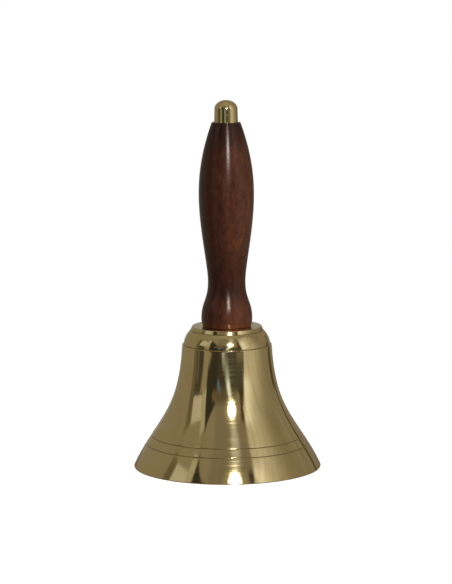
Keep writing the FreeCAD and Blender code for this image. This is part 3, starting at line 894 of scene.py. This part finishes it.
@dataclass
class BellCasting(TurnedPart):
    """The brass casting: raised disc, rounded shoulder, ledge, waist and flare with two turned lines."""

    node: ClassVar[str] = "bell_casting"
    slot: ClassVar[str] = "polished_brass"
    mouth_radius: float = 51.0
    lip_wall: float = 3.0
    waist_wall: float = 2.6
    hole_radius: float = 3.3
    disc_top: float = 18.95
    disc_foot: Pair = (19.85, 75.3)  # where its leaning edge meets the shoulder's crease
    disc_ease: float = 0.5
    shoulder_centre: Pair = (11.54, 66.42)
    shoulder_round: float = 12.16
    shoulder_start: float = 20.9  # radius where the shoulder becomes round
    cove: float = 0.45  # radius of the crease between disc and shoulder
    cove_rise: float = 0.8  # radius that eases the shoulder into it
    ledge_height: float = 67.5
    shoulder_radius: float = 23.65
    ledge_radius: float = 24.4
    ledge_cove: float = 0.15
    ledge_ease: float = 0.3
    # guides of the flare's spline, from the ledge down to the lip
    flare_guides: tuple[Pair, ...] = ((25.7, 48.9), (31.1, 29.97), (46.1, 11.45))
    ceiling_drop: float = 5.0
    ceiling_round: float = 9.5
    hole_ease: float = 0.25
    lip_round: float = 0.4
    lip_guides: Pair = (0.2, 0.15)  # how far its guides stand from its corner, up and in
    inner_lip_round: float = 0.8
    inner_lip_rise: float = 0.88  # where the inside leaves its upright edge
    inside_start: float = 2.0  # how far past the lip the duller inside starts and is complete
    inside_end: float = 4.0
    line_heights: Pair = (17.3, 12.85)
    line_depth: float = 0.16
    line_half_width: float = 0.37
    crown_height: float = measured("bell_casting", top=True)

    def outline(self) -> Outline:
        """Draws the section, from the rod hole over the outside, round the lip and back along the inside.

        Returns:
            The closed section.
        """
        ceiling = self.crown_height - self.ceiling_drop
        wall = self.ledge_radius - self.waist_wall
        lip_inside = self.mouth_radius - self.lip_wall
        start = (self.shoulder_start, self.shoulder_centre[1] + math.sqrt(
            self.shoulder_round**2 - (self.shoulder_start - self.shoulder_centre[0]) ** 2))
        high, middle, low = self.flare_guides
        inner = [(low[0] - self.lip_wall, low[1]), (middle[0] - self.waist_wall, middle[1]),
                 (high[0] - self.waist_wall, high[1]), (wall, ceiling - self.ceiling_round)]

        section = Outline(self.hole_radius, ceiling + self.ceiling_drop / 2)
        section.line(self.hole_radius, self.crown_height, ease=self.hole_ease)
        section.line(self.disc_top, self.crown_height, ease=self.disc_ease)
        section.line(*self.disc_foot, ease=self.cove)
        section.line(*start, ease=self.cove_rise)
        section.arc(self.shoulder_centre, (self.shoulder_radius, self.ledge_height), ease=self.ledge_cove)
        section.line(self.ledge_radius, self.ledge_height, ease=self.ledge_ease)
        section.long_curve([*self.flare_guides, (self.mouth_radius, self.lip_round)])
        section.curve((self.mouth_radius, self.lip_guides[0]), (self.mouth_radius - self.lip_guides[1], 0.0),
                      (self.mouth_radius - self.lip_round, 0.0))
        section.line(lip_inside, 0.0, ease=self.inner_lip_round)
        section.line(lip_inside, self.inner_lip_rise)
        section.long_curve(inner)
        section.arc((wall - self.ceiling_round, ceiling - self.ceiling_round),
                    (wall - self.ceiling_round, ceiling))
        section.line(self.hole_radius, ceiling, ease=self.hole_ease)
        section.line(self.hole_radius, ceiling + self.ceiling_drop / 2)
        return section

    def carved(self, points: np.ndarray) -> np.ndarray:
        """Cuts the two turned lines: depth times (1 - (distance / half width)^2)^2 inwards.

        Args:
            points: the outline's even points.

        Returns:
            The points with the lines in them.
        """
        headings = outline_headings(points, closed=True)
        inward = np.stack([np.sin(headings), -np.cos(headings)], axis=1)
        lip = int(np.argmin(points[:, 1]))
        middle = int(np.argmax(points[:lip, 1]))
        depth = np.zeros(len(points))
        for height in self.line_heights:
            nearest = middle + int(np.argmin(np.abs(points[middle:lip, 1] - height)))
            away = (np.arange(len(points)) - nearest) * Outline.SPACING / self.line_half_width
            depth += self.line_depth * np.clip(1.0 - away**2, 0.0, None) ** 2
        return points + inward * depth[:, None]

    def skin(self) -> Skin:
        """Turns the section, and marks how far each row lies inside the mouth.

        Returns:
            The surface.
        """
        outline = self.outline()
        plain = outline.points(closed=True)
        lip = int(np.argmin(plain[:, 1]))
        past_lip = (np.arange(len(plain)) - lip) * Outline.SPACING
        inside = np.clip((past_lip - self.inside_start) / (self.inside_end - self.inside_start), 0.0, 1.0)
        return turned(outline, Fineness.LARGE, points=self.carved(plain), traits={"inside": inside})


@dataclass
class WoodGrip(TurnedPart):
    """The turned grip: eased base, round foot, hollow neck and a long hand hold that tapers to the cap."""

    node: ClassVar[str] = "wood_grip"
    slot: ClassVar[str] = "lacquered_hardwood"
    bore: float = 3.3
    bore_ease: float = 0.3
    base_radius: float = 13.2
    base_ease: float = 0.35
    base_rise: float = 0.6  # the guide over its base
    foot: Pair = (13.9, 4.2)  # radius, and height over its base
    neck: Pair = (10.2, 24.5)
    belly: Pair = (15.0, 71.7)
    foot_guides: Pair = (9.3, 2.3)  # how far the guides over and under each of them stand off
    neck_guides: Pair = (8.9, 10.4)
    belly_guides: Pair = (7.3, 18.3)
    top_guide: Pair = (6.9, 19.1)  # how far out and down the guide under the top stands
    top_radius: float = 7.8
    top_ease: float = 0.5
    foot_height: float = measured("wood_grip", top=False)
    top_height: float = measured("wood_grip", top=True)

    def outline(self) -> Outline:
        """Draws the section, from the bore over the top, down the outside and back under the foot.

        Returns:
            The closed section.
        """
        section = Outline(self.bore, (self.foot_height + self.top_height) / 2)
        section.line(self.bore, self.top_height, ease=self.bore_ease)
        section.line(self.top_radius, self.top_height, ease=self.top_ease)
        leaving = (self.top_radius + self.top_guide[0], self.top_height - self.top_guide[1])
        for (radius, rise), (over, under) in ((self.belly, self.belly_guides), (self.neck, self.neck_guides),
                                              (self.foot, self.foot_guides)):
            height = self.foot_height + rise
            section.curve(leaving, (radius, height + over), (radius, height))
            leaving = (radius, height - under)
        section.curve(leaving, (self.base_radius, self.foot_height + self.base_rise),
                      (self.base_radius, self.foot_height), ease=self.base_ease)
        section.line(self.bore, self.foot_height, ease=self.bore_ease)
        section.line(self.bore, (self.foot_height + self.top_height) / 2)
        return section

    def skin(self) -> Skin:
        """Turns the section."""
        return turned(self.outline(), Fineness.LARGE)


@dataclass
class CapNut(TurnedPart):
    """The brass cap nut: a short taper under a dome, with a blind thread."""

    node: ClassVar[str] = "cap_nut"
    slot: ClassVar[str] = "polished_brass"
    base_radius: float = 6.45
    top_radius: float = 6.25
    dome: float = 4.7
    base_ease: float = 0.18
    bore: float = 3.05
    bore_depth: float = 9.0
    bore_eases: Pair = (0.15, 0.4)  # at its mouth and at its end
    base_height: float = measured("cap_nut", top=False)
    top_height: float = measured("cap_nut", top=True)

    def outline(self) -> Outline:
        """Draws the section, from the tip of the dome down the side and up the bore.

        Returns:
            The open section, which starts and ends on the axis.
        """
        spring = self.top_height - self.dome
        share = QUARTER_GUIDE * math.tan(math.pi / 8)
        section = Outline(0.0, self.top_height)
        section.curve((self.top_radius * share, self.top_height),
                      (self.top_radius, spring + self.dome * share), (self.top_radius, spring))
        section.line(self.base_radius, self.base_height, ease=self.base_ease)
        section.line(self.bore, self.base_height, ease=self.bore_eases[0])
        section.line(self.bore, self.base_height + self.bore_depth, ease=self.bore_eases[1])
        section.line(0.0, self.base_height + self.bore_depth)
        return section

    def skin(self) -> Skin:
        """Turns the section, all of which has the outside's polish.

        Returns:
            The surface.
        """
        skin = turned(self.outline(), Fineness.MEDIUM, closed=False)
        skin.traits["inside"] = np.zeros_like(skin.traits["edge"])
        return skin


@dataclass
class Clapper:
    """The clapper: a steel stem with an eye, a brass ball on its collar and a nut under the ball."""

    pivot_height: float = 55.2
    eye_radius: float = 3.6
    eye_bore: float = 1.58
    eye_thickness: float = 3.4
    stem_radius: float = 1.8
    collar_radius: float = 3.3
    collar_thickness: float = 1.3
    stem_eases: tuple[float, ...] = (0.2, 0.3, 0.25, 0.2, 0.05, 0.4)  # of its corners, downwards
    eye_eases: tuple[float, ...] = (0.2, 0.5, 0.5, 0.2)
    ball_radius: float = 8.5
    ball_bore: float = 1.9
    ball_bore_ease: float = 0.2
    ball_flat_ease: float = 0.3
    ball_foot: float = measured("clapper_ball", top=False)
    ball_top: float = measured("clapper_ball", top=True)
    stem_foot: float = measured("clapper_stem", top=False)

    def stem(self) -> bpy.types.Object:
        """Makes the shank with its collar, and the eye as a ring with eased edges about the pin.

        Returns:
            The piece.
        """
        shank_top = self.pivot_height - (self.eye_radius + self.eye_bore) / 2
        collar_top = self.ball_top + self.collar_thickness
        shank = Outline(0.0, shank_top)
        for radius, height, ease in zip(
                (self.stem_radius, self.stem_radius, self.collar_radius, self.collar_radius,
                 self.stem_radius, self.stem_radius),
                (shank_top, collar_top, collar_top, self.ball_top, self.ball_top, self.stem_foot),
                self.stem_eases):
            shank.line(radius, height, ease)
        shank.line(0.0, self.stem_foot)
        half = self.eye_thickness / 2
        eye = Outline(self.eye_bore, 0.0)
        for radius, height, ease in zip(
                (self.eye_bore, self.eye_radius, self.eye_radius, self.eye_bore),
                (half, half, -half, -half), self.eye_eases):
            eye.line(radius, height, ease)
        eye.line(self.eye_bore, 0.0)
        return make_piece("clapper_stem_forged", [
            turned(shank, Fineness.SMALL, closed=False),
            turned(eye, Fineness.SMALL, axis=Axis.ACROSS, centre=(0.0, 0.0, self.pivot_height)),
        ])

    def ball(self) -> bpy.types.Object:
        """Makes the bored ball, with a flat round each end of its bore.

        Returns:
            The piece.
        """
        middle = (self.ball_foot + self.ball_top) / 2
        half = (self.ball_top - self.ball_foot) / 2
        flat = math.sqrt(self.ball_radius**2 - half**2)
        outline = Outline(self.ball_bore, middle)
        outline.line(self.ball_bore, self.ball_top, ease=self.ball_bore_ease)
        outline.line(flat, self.ball_top, ease=self.ball_flat_ease)
        outline.arc((0.0, middle), (self.ball_radius, middle))
        outline.arc((0.0, middle), (flat, self.ball_foot), ease=self.ball_flat_ease)
        outline.line(self.ball_bore, self.ball_foot, ease=self.ball_bore_ease)
        outline.line(self.ball_bore, middle)
        return make_piece("clapper_ball_turned", [turned(outline, Fineness.MEDIUM)])

    def build(self, finishes: Finishes) -> None:
        """Makes the stem and the ball, and dresses the nut.

        Args:
            finishes: the bell's finishes.
        """
        stem, ball = self.stem(), self.ball()
        finishes.dress(stem, "zinc_steel")
        finishes.dress(ball, "cast_brass")
        settle(stem, "clapper", "clapper_stem")
        settle(ball, "clapper", "clapper_ball")
        finishes.dress_node("clapper_end_nut", "cast_brass")


@dataclass
class Fixings:
    """The rod, washers, nut, hanger and pin, which keep their CAD shapes."""

    slots: dict[str, str] = field(default_factory=lambda: {
        "tie_rod": "zinc_steel", "crown_washer": "zinc_steel", "lock_washer": "spring_steel",
        "crown_nut": "zinc_steel", "clapper_hanger": "cast_brass", "pivot_pin": "zinc_steel",
        "pin_washer": "zinc_steel", "pin_clip": "spring_steel"})

    def build(self, finishes: Finishes) -> None:
        """Dresses each node.

        Args:
            finishes: the bell's finishes.
        """
        for node, slot in self.slots.items():
            finishes.dress_node(node, slot)


# --- Studio ---


@dataclass(frozen=True)
class Panel:
    """A soft panel or wall of the studio, by direction from the bell, in degrees.

    Azimuth 0 is towards the camera and grows to the right; elevation is above the floor.

    Attributes:
        left, right: its sides, at the middle of its height.
        foot, top: its lower and upper edges, at the middle of its width.
        tone: its colour.
        strength: what the tone is multiplied by.
        soft: how far each edge fades.
        fade: how far its right side fades, if that is more.
        lean: how far its sides lean to the right for each degree of elevation.
        slope: how far its top and foot rise for each degree of azimuth.
    """

    left: float
    right: float
    foot: float
    top: float
    tone: str
    strength: float = 1.0
    soft: float = 2.0
    lean: float = 0.0
    slope: float = 0.0
    fade: float = 0.0

    def share(self, graph: Graph, azimuth: Socket,
              elevation: Socket) -> Socket:
        """How much of the panel a direction sees: the product of four smooth steps, one for each edge.

        Args:
            graph: the world's nodes.
            azimuth: the direction's azimuth.
            elevation: its elevation.

        Returns:
            The share, from 0 to 1.
        """
        across = graph.add("Math", {0: elevation, 1: -self.lean, 2: azimuth}, operation="MULTIPLY_ADD")
        up = graph.add("Math", {0: azimuth, 1: -self.slope, 2: elevation}, operation="MULTIPLY_ADD")
        shift = -self.lean * (self.foot + self.top) / 2
        lift = -self.slope * (self.left + self.right) / 2
        edges = ((across, self.left + shift, self.soft),
                 (across, self.right + shift, -max(self.soft, self.fade)),
                 (up, self.foot + lift, self.soft),
                 (up, self.top + lift, -self.soft))
        share = None
        for value, edge, reach in edges:
            step = graph.add("MapRange", Ramp(edge - reach, edge + reach).of(value),
                             interpolation_type="SMOOTHSTEP")
            share = step if share is None else graph.add("Math", {0: share, 1: step}, operation="MULTIPLY")
        return share


@dataclass(frozen=True)
class Lamp:
    """A round soft lamp by direction, in degrees, with a fading rim."""

    azimuth: float
    elevation: float
    radius: float
    rim: float
    tone: str
    strength: float = 1.0

    def share(self, graph: Graph, towards: Socket) -> Socket:
        """How much of the lamp a direction sees: a smooth step of its distance from the lamp's own.

        Directions are unit vectors, so an angle a between two is a distance of 2 sin(a / 2).

        Args:
            graph: the world's nodes.
            towards: the direction.

        Returns:
            The share, from 0 to 1.
        """
        azimuth, elevation = math.radians(self.azimuth), math.radians(self.elevation)
        centre = (math.sin(azimuth) * math.cos(elevation), -math.cos(azimuth) * math.cos(elevation),
                  math.sin(elevation))
        outer, inner = (2 * math.sin(math.radians(max(reach, 0.0)) / 2)
                        for reach in (self.radius + self.rim, self.radius - self.rim))
        apart = graph.add("VectorMath", {0: towards, 1: centre}, "Value", operation="DISTANCE")
        return graph.add("MapRange", Ramp(outer, inner).of(apart), interpolation_type="SMOOTHSTEP")


@dataclass
class Studio:
    """Plain soft studio light by direction, a pale floor and the camera."""

    surround: str = "#8A8578"
    panels: tuple[Panel, ...] = (
        # pale cards behind, and a pale sheet under the table
        Panel(-200, -160, -30, 14, "#9A9A95", soft=6.0),
        Panel(160, 200, -30, 14, "#9A9A95", soft=6.0),
        Panel(-200, 200, -95, -33, "#DAD6CA", soft=2.0),
        # cards overhead and in front
        Panel(-28, 8, 22, 60, "#7D796F", soft=6.0),
        Panel(21, 38, 38, 60, "#7F7A6F", soft=5.0),
        Panel(-28, 20, -30, 27, "#625A4D", soft=6.0),
        # dark flags, left and front, and the right one's pale top with its dark edge
        Panel(-50, -27, -30, 37.5, "#363431", soft=2.0, slope=-0.9),
        Panel(-30, 30, -30, 14, "#403E38", soft=4.5),
        Panel(8, 44, -30, 17, "#4B4C48", soft=3.0, slope=0.5),
        Panel(-45, -24, -30, 14, "#363431", soft=3.0),
        Panel(19, 44, 20, 42, "#858073", soft=4.0),
        Panel(29.5, 46, 12, 43, "#4B4334", soft=2.5, lean=0.1),
        # left card, the dark flag below it, and the narrow cards beside it
        Panel(-91, -80, -20, 36, "#686352", soft=2.0),
        Panel(-81, -57, -30, 15.5, "#47443D", soft=1.2),
        Panel(-77.5, -73.5, -30, 6, "#68675F", soft=1.0),
        Panel(-80, -58.5, 15.5, 37, "#BBBCBC", soft=0.8, slope=0.1),
        Panel(-58.5, -49.5, 12, 46, "#ABABA0", soft=0.8, lean=-0.05),
        Panel(-58.5, -45, -30, 14, "#8E8A7A", soft=2.5, lean=-0.3),
        Panel(-50, -37, -9, 1, "#928D7D", soft=2.0, lean=-1.5),
        # right card and its brightest part, with the pale foot of the flag on this side of it
        Panel(24, 44, -12, -0.2, "#7E7868", soft=2.2),
        Panel(42.5, 80, -30, 31, "#C2C0BA", soft=1.2, lean=-0.22, fade=22.0),
        Panel(41, 81, 29, 58, "#C2C0BA", soft=2.2, lean=0.4, fade=24.0),
        Panel(114, 165, -30, 12, "#827C6F", soft=8.0),
        Panel(40.5, 55, 6, 43, "#F0F3FA", soft=4.0, fade=11.0),
        # dark gaps beyond it
        Panel(128, 141, -8, 0.5, "#50442F", soft=2.0),
        Panel(139.8, 143.4, -2, 14, "#3A301E", soft=1.1, lean=0.1),
        # daylight between the flags, from the table up to the glow over the reading lamp
        Panel(-12.5, -5.5, -6, 3, "#A4AEB6", soft=3.2, lean=0.6),
        Panel(-12.5, -7.5, -6, -1.5, "#D4DEE6", soft=2.0),
        Panel(-2.6, 5.8, 1, 17, "#A6B2BC", soft=4.5, lean=0.4),
        Panel(2.2, 8.6, 9, 28, "#CCE0FF", 1.5, soft=3.2, lean=0.4),
        Panel(9.0, 19.5, 36, 60, "#B8BEC8", soft=4.5, lean=0.5),
        Panel(8, 26, 52, 66, "#B2B6BE", soft=5.0),
    )
    lamps: tuple[Lamp, ...] = (
        Lamp(-30.0, 19.5, 5.0, 2.0, "#6A5E4E"),
        Lamp(-21.0, 11.0, 2.0, 2.5, "#617FC0"),
        Lamp(-18.0, 15.0, 2.5, 2.5, "#637CAD"),
        Lamp(10.0, 34.0, 12.0, 6.0, "#A3A096"),  # glow round the reading lamp
        Lamp(0.0, 90.0, 22.0, 12.0, "#A09A8B"),  # overhead
        Lamp(0.0, -62.0, 28.0, 16.0, "#FFFFFF", 2.2),  # under the table, into the mouth
    )
    bulb: Triple = (97.0, -560.0, 390.0)  # place of the reading lamp, in mm
    bulb_radius: float = 49.0
    bulb_power: float = 4.7
    shade_radius: float = 93.0
    shade_power: float = 0.23
    folded_wall: Panel = Panel(36.5, 150, -30, 52, "#FFFFFF", soft=3.0)  # where slanting folds show
    folds: Mottle = Mottle(1.0)
    fold_pitch: float = 7.0  # in degrees
    fold_drawn_out: float = 0.12  # how much slower they change along themselves
    fold_shade: Ramp = Ramp(0.3, 0.7, 0.88, 1.12)
    floor_radius: float = 0.35
    floor_hole: float = 0.0507  # under the lip, so that light reaches the inside in views from below
    floor_columns: int = 96
    floor_tone: str = "#F4F3F1"
    bench_tone: str = "#6B6459"  # what the brass sees of the floor
    floor_lamp_power: float = 3.4
    floor_lamp_spread: float = 80.0
    lens: float = 197.26
    sensor: float = 36.0
    reach: Pair = (0.05, 50.0)  # nearest and furthest that the camera sees, in metres
    look_at: Triple = (-0.0004, 0.0, 0.0960)
    distance: float = 1.74
    camera_elevation: float = 8.97
    camera_roll: float = -0.24

    def world(self) -> None:
        """Paints the panels and lamps over the surround by direction; the camera itself sees plain white."""
        world = bpy.data.worlds.new("studio")
        bpy.context.scene.world = world
        world.use_nodes = True
        graph = Graph(world.node_tree)
        towards = graph.add("TexCoord", out="Generated")
        east, north, up = graph.add("SeparateXYZ", {0: towards}).node.outputs
        ahead = graph.add("Math", {0: north, 1: -1.0}, operation="MULTIPLY")
        turn = graph.add("Math", {0: east, 1: ahead}, operation="ARCTAN2")
        rise = graph.add("Math", {0: up}, operation="ARCSINE")
        azimuth, elevation = (graph.add("Math", {0: angle}, operation="DEGREES") for angle in (turn, rise))

        tone: object = linear(self.surround)
        for panel in self.panels:
            share = panel.share(graph, azimuth, elevation)
            tone = graph.add("Mix", {0: share, 6: tone, 7: self.glow(panel)}, 2, data_type="RGBA")
        tone = self.folded(graph, tone, azimuth, elevation)
        for lamp in self.lamps:
            share = lamp.share(graph, towards)
            tone = graph.add("Mix", {0: share, 6: tone, 7: self.glow(lamp)}, 2, data_type="RGBA")
        room = graph.add("Background", {"Color": tone})
        paper = graph.add("Background", {"Color": (1.0, 1.0, 1.0, 1.0)})
        seen = graph.add("LightPath", out="Is Camera Ray")
        graph.add("OutputWorld", {"Surface": graph.add("MixShader", {0: seen, 1: room, 2: paper})})

    def folded(self, graph: Graph, tone: Socket, azimuth: Socket,
               elevation: Socket) -> Socket:
        """Shades the right wall with slanting folds: noise of azimuth less elevation, drawn out along them.

        Args:
            graph: the world's nodes.
            tone: the wall's colour.
            azimuth: the direction's azimuth.
            elevation: its elevation.

        Returns:
            The colour with its folds.
        """
        across = graph.add("Math", {0: azimuth, 1: elevation}, operation="SUBTRACT")
        along = graph.add("Math", {0: azimuth, 1: elevation}, operation="ADD")
        place = graph.add("CombineXYZ", {0: across, 1: along})
        drawn = graph.add("Mapping", {
            0: place, 3: (1.0 / self.fold_pitch, self.fold_drawn_out / self.fold_pitch, 1.0)})
        folds = graph.add("TexNoise", self.folds.at(drawn))
        shade = graph.add("MapRange", self.fold_shade.of(folds))
        shaded = graph.add("VectorMath", {0: tone, 3: shade}, operation="SCALE")
        wall = self.folded_wall.share(graph, azimuth, elevation)
        return graph.add("Mix", {0: wall, 6: tone, 7: shaded}, 2, data_type="RGBA")

    @staticmethod
    def glow(source: Panel | Lamp) -> tuple[float, float, float, float]:
        """A panel's or lamp's linear colour multiplied by its strength."""
        red, green, blue, _ = linear(source.tone)
        return (red * source.strength, green * source.strength, blue * source.strength, 1.0)

    def floor(self) -> bpy.types.Object:
        """A pale table top, a flat ring seen only from above, under a broad lamp that lights nothing else.

        Its points are (r cos a, r sin a, 0), for the radius of its hole and of its rim.

        Returns:
            The floor.
        """
        angles = np.arange(self.floor_columns) / self.floor_columns * math.tau
        radii = np.array([self.floor_hole, self.floor_radius])[:, None]
        rings = place_round_axis(radii, np.zeros((2, 1)), angles, Axis.UPRIGHT)
        up = np.broadcast_to(np.array([0.0, 0.0, 1.0]), rings.shape)
        piece = make_piece("floor", [Skin(rings, up, np.array([0.0, 1.0]), {}, rows_closed=False)])
        material, graph = new_material("pale_paper")
        seen = graph.add("LightPath", out="Is Camera Ray")
        tone = graph.add("Mix", {0: seen, 6: linear(self.bench_tone), 7: linear(self.floor_tone)}, 2,
                         data_type="RGBA")
        paper = graph.add("BsdfDiffuse", {"Color": tone})
        below = graph.add("NewGeometry", out="Backfacing")
        clear = graph.add("BsdfTransparent")
        graph.add("OutputMaterial", {"Surface": graph.add("MixShader", {0: below, 1: paper, 2: clear})})
        piece.data.materials.append(material)

        lamp = bpy.data.lights.new("floor_lamp", "SUN")
        lamp.energy, lamp.angle = self.floor_lamp_power, math.radians(self.floor_lamp_spread)
        sun = bpy.data.objects.new("floor_lamp", lamp)
        bpy.context.scene.collection.objects.link(sun)
        only_floor = bpy.data.collections.new("lit_by_floor_lamp")
        only_floor.objects.link(piece)
        sun.light_linking.receiver_collection = only_floor
        return piece

    def lamp(self, kind: str, name: str, power: float, radius: float, floor: bpy.types.Object) -> None:
        """Sets a round lamp before the bell that lights all but the floor, and that the camera never sees.

        Args:
            kind: POINT for the bulb, or AREA for the glowing shade behind it.
            name: its name.
            power: its power in watts.
            radius: its radius in mm.
            floor: the floor.
        """
        light = bpy.data.lights.new(name, kind)
        light.energy = power
        if kind == "AREA":
            light.shape, light.size = "DISK", 2 * radius * MM
        else:
            light.shadow_soft_size = radius * MM
        lamp = bpy.data.objects.new(name, light)
        lamp.location = Vector(self.bulb) * MM
        lamp.rotation_euler = (Vector(self.look_at) - lamp.location).to_track_quat("-Z", "Y").to_euler()
        lamp.visible_camera = False
        bpy.context.scene.collection.objects.link(lamp)
        unlit = bpy.data.collections.new("unlit_by_" + name)
        unlit.objects.link(floor)
        unlit.collection_objects[0].light_linking.link_state = "EXCLUDE"
        lamp.light_linking.receiver_collection = unlit

    def camera(self) -> None:
        """A long lens a little above the bell, turned a quarter of a degree."""
        lens = bpy.data.cameras.new("camera")
        lens.lens, lens.sensor_width = self.lens, self.sensor
        lens.clip_start, lens.clip_end = self.reach
        camera = bpy.data.objects.new("camera", lens)
        bpy.context.scene.collection.objects.link(camera)
        elevation = math.radians(self.camera_elevation)
        back = Vector((0.0, -math.cos(elevation), math.sin(elevation)))
        camera.location = Vector(self.look_at) + back * self.distance
        facing = (-back).to_track_quat("-Z", "Y").to_matrix().to_4x4()
        turn = Quaternion(Vector((0.0, 0.0, 1.0)), math.radians(self.camera_roll))
        camera.rotation_euler = (facing.to_quaternion() @ turn).to_euler()
        bpy.context.scene.camera = camera

    def build(self) -> None:
        """Sets up light, floor and camera, with plain sRGB output so that paper stays white."""
        bpy.context.scene.view_settings.view_transform = "Standard"
        self.world()
        floor = self.floor()
        self.lamp("POINT", "bulb", self.bulb_power, self.bulb_radius, floor)
        self.lamp("AREA", "shade", self.shade_power, self.shade_radius, floor)
        self.camera()


def main() -> None:
    logging.basicConfig(level=logging.INFO, format="%(name)s: %(message)s")
    Studio().build()
    finishes = Finishes()
    for assembly in (BellCasting(), WoodGrip(), CapNut(), Clapper(), Fixings()):
        assembly.build(finishes)


if __name__ == "__main__":
    main()
